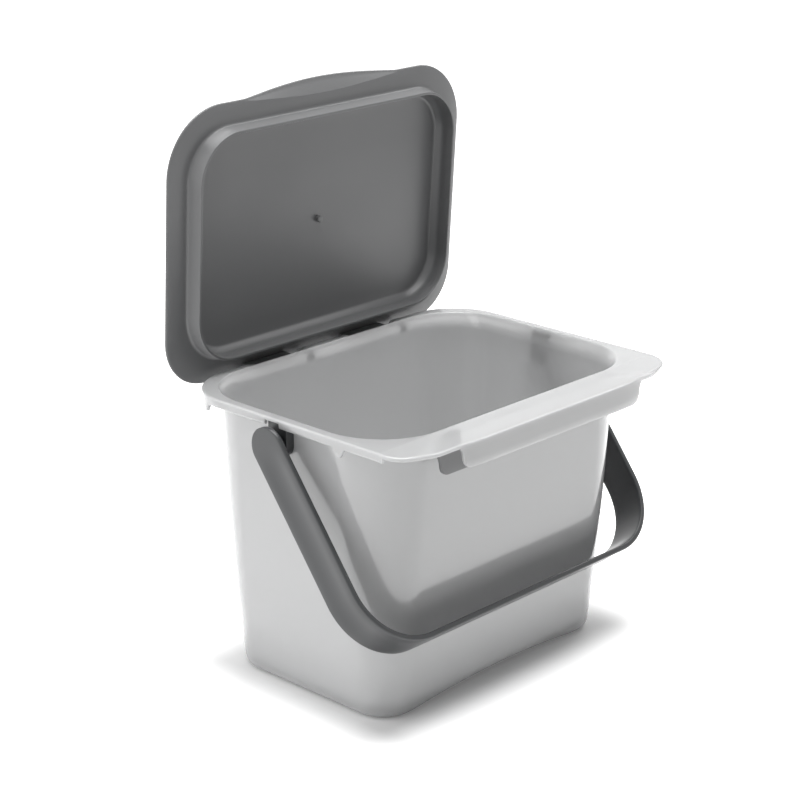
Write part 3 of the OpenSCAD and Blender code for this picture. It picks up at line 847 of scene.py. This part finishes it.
# %% Hinge arms and pins
NOTCH_X, NOTCH_W = 43.0, 46.0
ARM_W, ARM_PLAY = 36.0, 0.8
BARREL_R, PIN_R, PIN_REACH = 3.3, 2.0, 5.0
ROUND_POINTS = 48
LEVEL = 1e-6
ARM_LIFT = 3.6
NUB_R, NUB_H, NUB_SINK = 2.2, 3.0, 1.3


def upright_slot(x, y, z, radius, height):
    """A circle in the Y-Z plane whose upper half is lifted by height."""
    angles = [2 * math.pi * i / ROUND_POINTS for i in range(ROUND_POINTS)]
    places = []
    for a in angles:
        lift = height if math.sin(a) > LEVEL else 0
        places.append((x, y + radius * math.cos(a), z + radius * math.sin(a) + lift))
    return places


hinge_parts = []
for side in (-1, 1):
    arm_start = side * NOTCH_X - NOTCH_W / 2 + ARM_PLAY
    arm_shape = upright_slot(arm_start, HINGE_Y, HINGE_Z, BARREL_R, ARM_LIFT)
    hinge_parts.append(cut_plate("hinge_arm", arm_shape, (ARM_W, 0, 0), 0.5))
    pin_shape = upright_slot(arm_start + ARM_W - 1, HINGE_Y, HINGE_Z, PIN_R, 0.0)
    pin_length = NOTCH_W - ARM_W - ARM_PLAY + PIN_REACH + 1
    hinge_parts.append(cut_plate("hinge_pin", pin_shape, (pin_length, 0, 0), 0.4))
bpy.ops.mesh.primitive_cylinder_add(
    vertices=32, radius=NUB_R * MM, depth=NUB_H * MM,
    location=in_frame((0, (COLLAR_FRONT + COLLAR_REAR) / 2, PANEL_UNDER - NUB_SINK)))
gate_nub = bpy.context.object
bpy.ops.object.transform_apply(location=True)
soften(gate_nub, 0.5)
lid_shell = join(lid_shell, *hinge_parts, gate_nub)
print("hinge parts:", len(hinge_parts))

# %% [markdown]
# Now the whole lid is turned open. Its mesh is turned by a matrix about the hinge, so that
# the object itself stays at the origin.

# %% Open the lid
hinge = Matrix.Translation(in_frame((0, HINGE_Y, HINGE_Z)))
lid_shell.data.transform(hinge @ Matrix.Rotation(math.radians(-LID_OPEN), 4, "X") @ hinge.inverted())
finish(lid_shell, lid_plastic_painted_light, "lid", 45)
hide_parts("lid")

# %% [markdown]
# ## The bail
# The bail is a flat strip, bent into a U, with round heads on its pivots. Its outer face is
# dished between two soft edges. A cross-section is walked along the U: straight down one arm,
# round the bend, across, and up the other arm. Towards each head the section narrows along a
# half circle, which rounds the head.

# %% Bail sizes, in mm
PIVOT_Z = 168.0
BAIL_T, BAIL_W = 3.6, 26.0
BAIL_HW = BRIM_HW + 1.0 + BAIL_T
BAIL_L, BEND_R = 140.0, 42.0
BAIL_EDGE_R = 1.1
DISH, DISH_SHARE, DISH_FADE = 0.9, 0.78, 14
WALL_GAP = 0.4
START_LEAN = 36


def settle_angle():
    """The lean at which the crossbar's lower edge rests against the front wall."""
    angle = math.radians(START_LEAN)
    reach = BAIL_L - BAIL_T
    for _ in range(12):
        edge_z = PIVOT_Z - reach * math.cos(angle) - BAIL_W / 2 * math.sin(angle)
        wall_y = BASE_D / 2 + spread(edge_z) + WALL_GAP
        angle = math.asin((wall_y + BAIL_W / 2 * math.cos(angle)) / reach)
    return angle


bail_lean = settle_angle()
print("bail leans", round(math.degrees(bail_lean), 2), "degrees")


# %% Section and path of the bail
def strip_section(half_width, dish):
    """Points round the strip's section: (across, outward). The outer face is dished."""
    edge = min(BAIL_EDGE_R, half_width * 0.8)
    flat = half_width - edge
    points = []
    for i in range(13):
        share = -1 + 2 * i / 12
        inner = 1 - min(1.0, abs(share) / DISH_SHARE) ** 2
        points.append((share * flat, BAIL_T - dish * max(0.0, inner) ** 1.2))
    for start in (90, 0):
        for i in range(1, 6):
            a = math.radians(start - 90 * i / 6)
            outward = BAIL_T - edge if start == 90 else edge
            points.append((flat + edge * math.cos(a), outward + edge * math.sin(a)))
    for i in range(13):
        points.append((flat * (1 - 2 * i / 12), 0.0))
    for start in (270, 180):
        for i in range(1, 6):
            a = math.radians(start - 90 * i / 6)
            outward = edge if start == 270 else BAIL_T - edge
            points.append((-flat + edge * math.cos(a), outward + edge * math.sin(a)))
    return points


def path_frames():
    """Stations along one half of the U: (x, z, outward x, outward z, half width, dish)."""
    head = BAIL_W / 2
    stations = []
    for turn in (4, 12, 20, 28, 36, 44, 52, 60, 68, 76, 84, 90):
        rise = head * math.cos(math.radians(turn))
        half = head * math.sin(math.radians(turn))
        stations.append((BAIL_HW, rise, 1.0, 0.0, half, 0.0))
    straight = BAIL_L - BEND_R
    for i in range(1, 25):
        down = straight * i / 24
        fade = min(1.0, down / DISH_FADE)
        stations.append((BAIL_HW, -down, 1.0, 0.0, head, DISH * fade))
    for i in range(1, 25):
        a = math.radians(90 * i / 24)
        stations.append((BAIL_HW - BEND_R + BEND_R * math.cos(a), -straight - BEND_R * math.sin(a),
                         math.cos(a), -math.sin(a), head, DISH * (1 - 0.6 * i / 24)))
    for i in range(1, 13):
        x = (BAIL_HW - BEND_R) * (1 - i / 12)
        stations.append((x, -BAIL_L, 0.0, -1.0, head, DISH * 0.4))
    return stations


def bail_ring(station, mirror=1):
    x, z, out_x, out_z, half, dish = station
    ring = []
    for across, outward in strip_section(half, dish):
        depth = outward - BAIL_T
        ring.append((mirror * (x + out_x * depth), across, PIVOT_Z + z + out_z * depth))
    return ring


half_path = path_frames()
bail_rings = [bail_ring(s) for s in half_path] + [bail_ring(s, -1) for s in reversed(half_path[:-1])]
bail_strip = pull_rings("bail_strip", bail_rings)
print("bail rings:", len(bail_rings))

# %% [markdown]
# The arms turn on pins. Behind each head sits a hub, and on it the pin that runs in the
# pivot block. They are cylinders with rounded edges. Then the bail is leaned forward.

# %% Hubs and pivot pins
BLOCK_GAP = 0.3
BLOCK_IN, BLOCK_OUT = MOUTH_HW + BLOCK_GAP, RIM_HW - EDGE_T - BLOCK_GAP
HUB_R, PIVOT_R, BLOCK_R = 7.5, 4.0, 7.7
HUB_SINK, HUB_CLEAR = 0.5, 0.3
PIN_PLAY, PIN_SHORT = 0.05, 1.3
round_parts = []
for side in (-1, 1):
    hub_start = side * (BAIL_HW - BAIL_T + HUB_SINK)
    hub_shape = upright_slot(hub_start, 0, PIVOT_Z, HUB_R, 0.0)
    hub_depth = -side * (BAIL_HW - BAIL_T + HUB_SINK - BLOCK_OUT - HUB_CLEAR)
    round_parts.append(cut_plate("bail_hub", hub_shape, (hub_depth, 0, 0), 0.5))
    pin_shape = upright_slot(hub_start, 0, PIVOT_Z, PIVOT_R - PIN_PLAY, 0.0)
    pin_depth = -side * (BAIL_HW - BAIL_T + HUB_SINK - BLOCK_IN - PIN_SHORT)
    round_parts.append(cut_plate("bail_pin", pin_shape, (pin_depth, 0, 0), 0.4))
bail_strip = join(bail_strip, *round_parts)
pivot = Matrix.Translation(in_frame((0, 0, PIVOT_Z)))
bail_strip.data.transform(pivot @ Matrix.Rotation(-bail_lean, 4, "X") @ pivot.inverted())
finish(bail_strip, bail_plastic, "bail", 45)
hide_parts("bail")

# %% [markdown]
# ## Pivot blocks and hanging plate
# The dark blocks stand under the rim beside the side walls, round at the bottom, and hold the
# bail's pins. The hanging plate is a sheet behind the grip skirt, in the lid's dark plastic; its
# dark colour is partly painted shade, for the shade in the gap under the lip. Both are cut plates.

# %% Pivot blocks
rim_under = RIM_H - PLATE
for name, side in (("pivot_block_left", -1), ("pivot_block_right", 1)):
    shape = upright_slot(side * BLOCK_IN, 0, PIVOT_Z, BLOCK_R, 0.0)
    shape = [(x, y, z if z <= PIVOT_Z else rim_under - 0.05) for x, y, z in shape]
    block = cut_plate(name + "_body", shape, (side * (BLOCK_OUT - BLOCK_IN), 0, 0), 0.4)
    finish(block, bail_plastic, "body")
    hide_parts(name)

# %% Hanging plate
HANGER_FRONT, HANGER_T = -92.9, 2.4
HANGER_HW, HANGER_H, HANGER_TOP = 82.0, 24.0, 3.7
half_plate = []
for i in range(9):
    a = math.radians(270 + 90 * i / 8)
    half_plate.append((HANGER_HW - GRIP_END_R + GRIP_END_R * math.cos(a),
                       RIM_H - HANGER_H + GRIP_END_R + GRIP_END_R * math.sin(a)))
for i in range(1, 9):
    a = math.radians(180 - 62 * i / 8)
    half_plate.append((HANGER_HW + GRIP_SWEEP_R + GRIP_SWEEP_R * math.cos(a),
                       RIM_H - HANGER_H + GRIP_END_R + GRIP_SWEEP_R * math.sin(a)))
half_plate.append((HANGER_HW + 5.0, RIM_H - HANGER_TOP))
plate_places = [(x, HANGER_FRONT, z) for x, z in half_plate]
plate_places += [(-x, HANGER_FRONT, z) for x, z in reversed(half_plate)]
# The sheet's dark plastic is partly painted shade for the gap under the lip.
hanger_and_shade_sheet = cut_plate("hanger_and_shade_sheet", plate_places, (0, HANGER_T, 0), 0.5)
finish(hanger_and_shade_sheet, lid_plastic_painted_light, "body")
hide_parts("hanging_plate")

# %% [markdown]
# Two low ribs under the lip hold the top of the hanging plate, and two ears under the rear
# edge hold the lid's pins. They belong to the bucket's moulding. The ears step back at the
# top, where the funnel thins the wall, so that they don't show inside the bucket.

# %% Ribs and ears
RIB_H, RIB_T, RIB_HW = 4.0, 1.6, 78.0
bucket_parts = []
for rib_y in (HANGER_FRONT - 0.1 - RIB_T, HANGER_FRONT + HANGER_T + 0.1):
    corners = [(-RIB_HW, rib_y, rim_under + 0.4), (-RIB_HW, rib_y, rim_under - RIB_H),
               (RIB_HW, rib_y, rim_under - RIB_H), (RIB_HW, rib_y, rim_under + 0.4)]
    bucket_parts.append(cut_plate("seat_rib", corners, (0, RIB_T, 0), 0.3))
EAR_R, EAR_T = 4.0, 6.0
EAR_FOOT, EAR_TOP = 7.0, 4.8
for side in (-1, 1):
    ear_shape = upright_slot(side * NOTCH_X + NOTCH_W / 2, HINGE_Y, HINGE_Z, EAR_R, 0.0)
    ear_shape = [(x, y if y > HINGE_Y else HINGE_Y - (EAR_FOOT if z < HINGE_Z else EAR_TOP), z)
                 for x, y, z in ear_shape]
    bucket_parts.append(cut_plate("hinge_ear", ear_shape, (EAR_T, 0, 0), 0.4))
rib_and_ear = join(bucket_parts[0], *bucket_parts[1:])
rib_and_ear.name = "ribs_and_ears"
finish(rib_and_ear, light_plastic, "body")
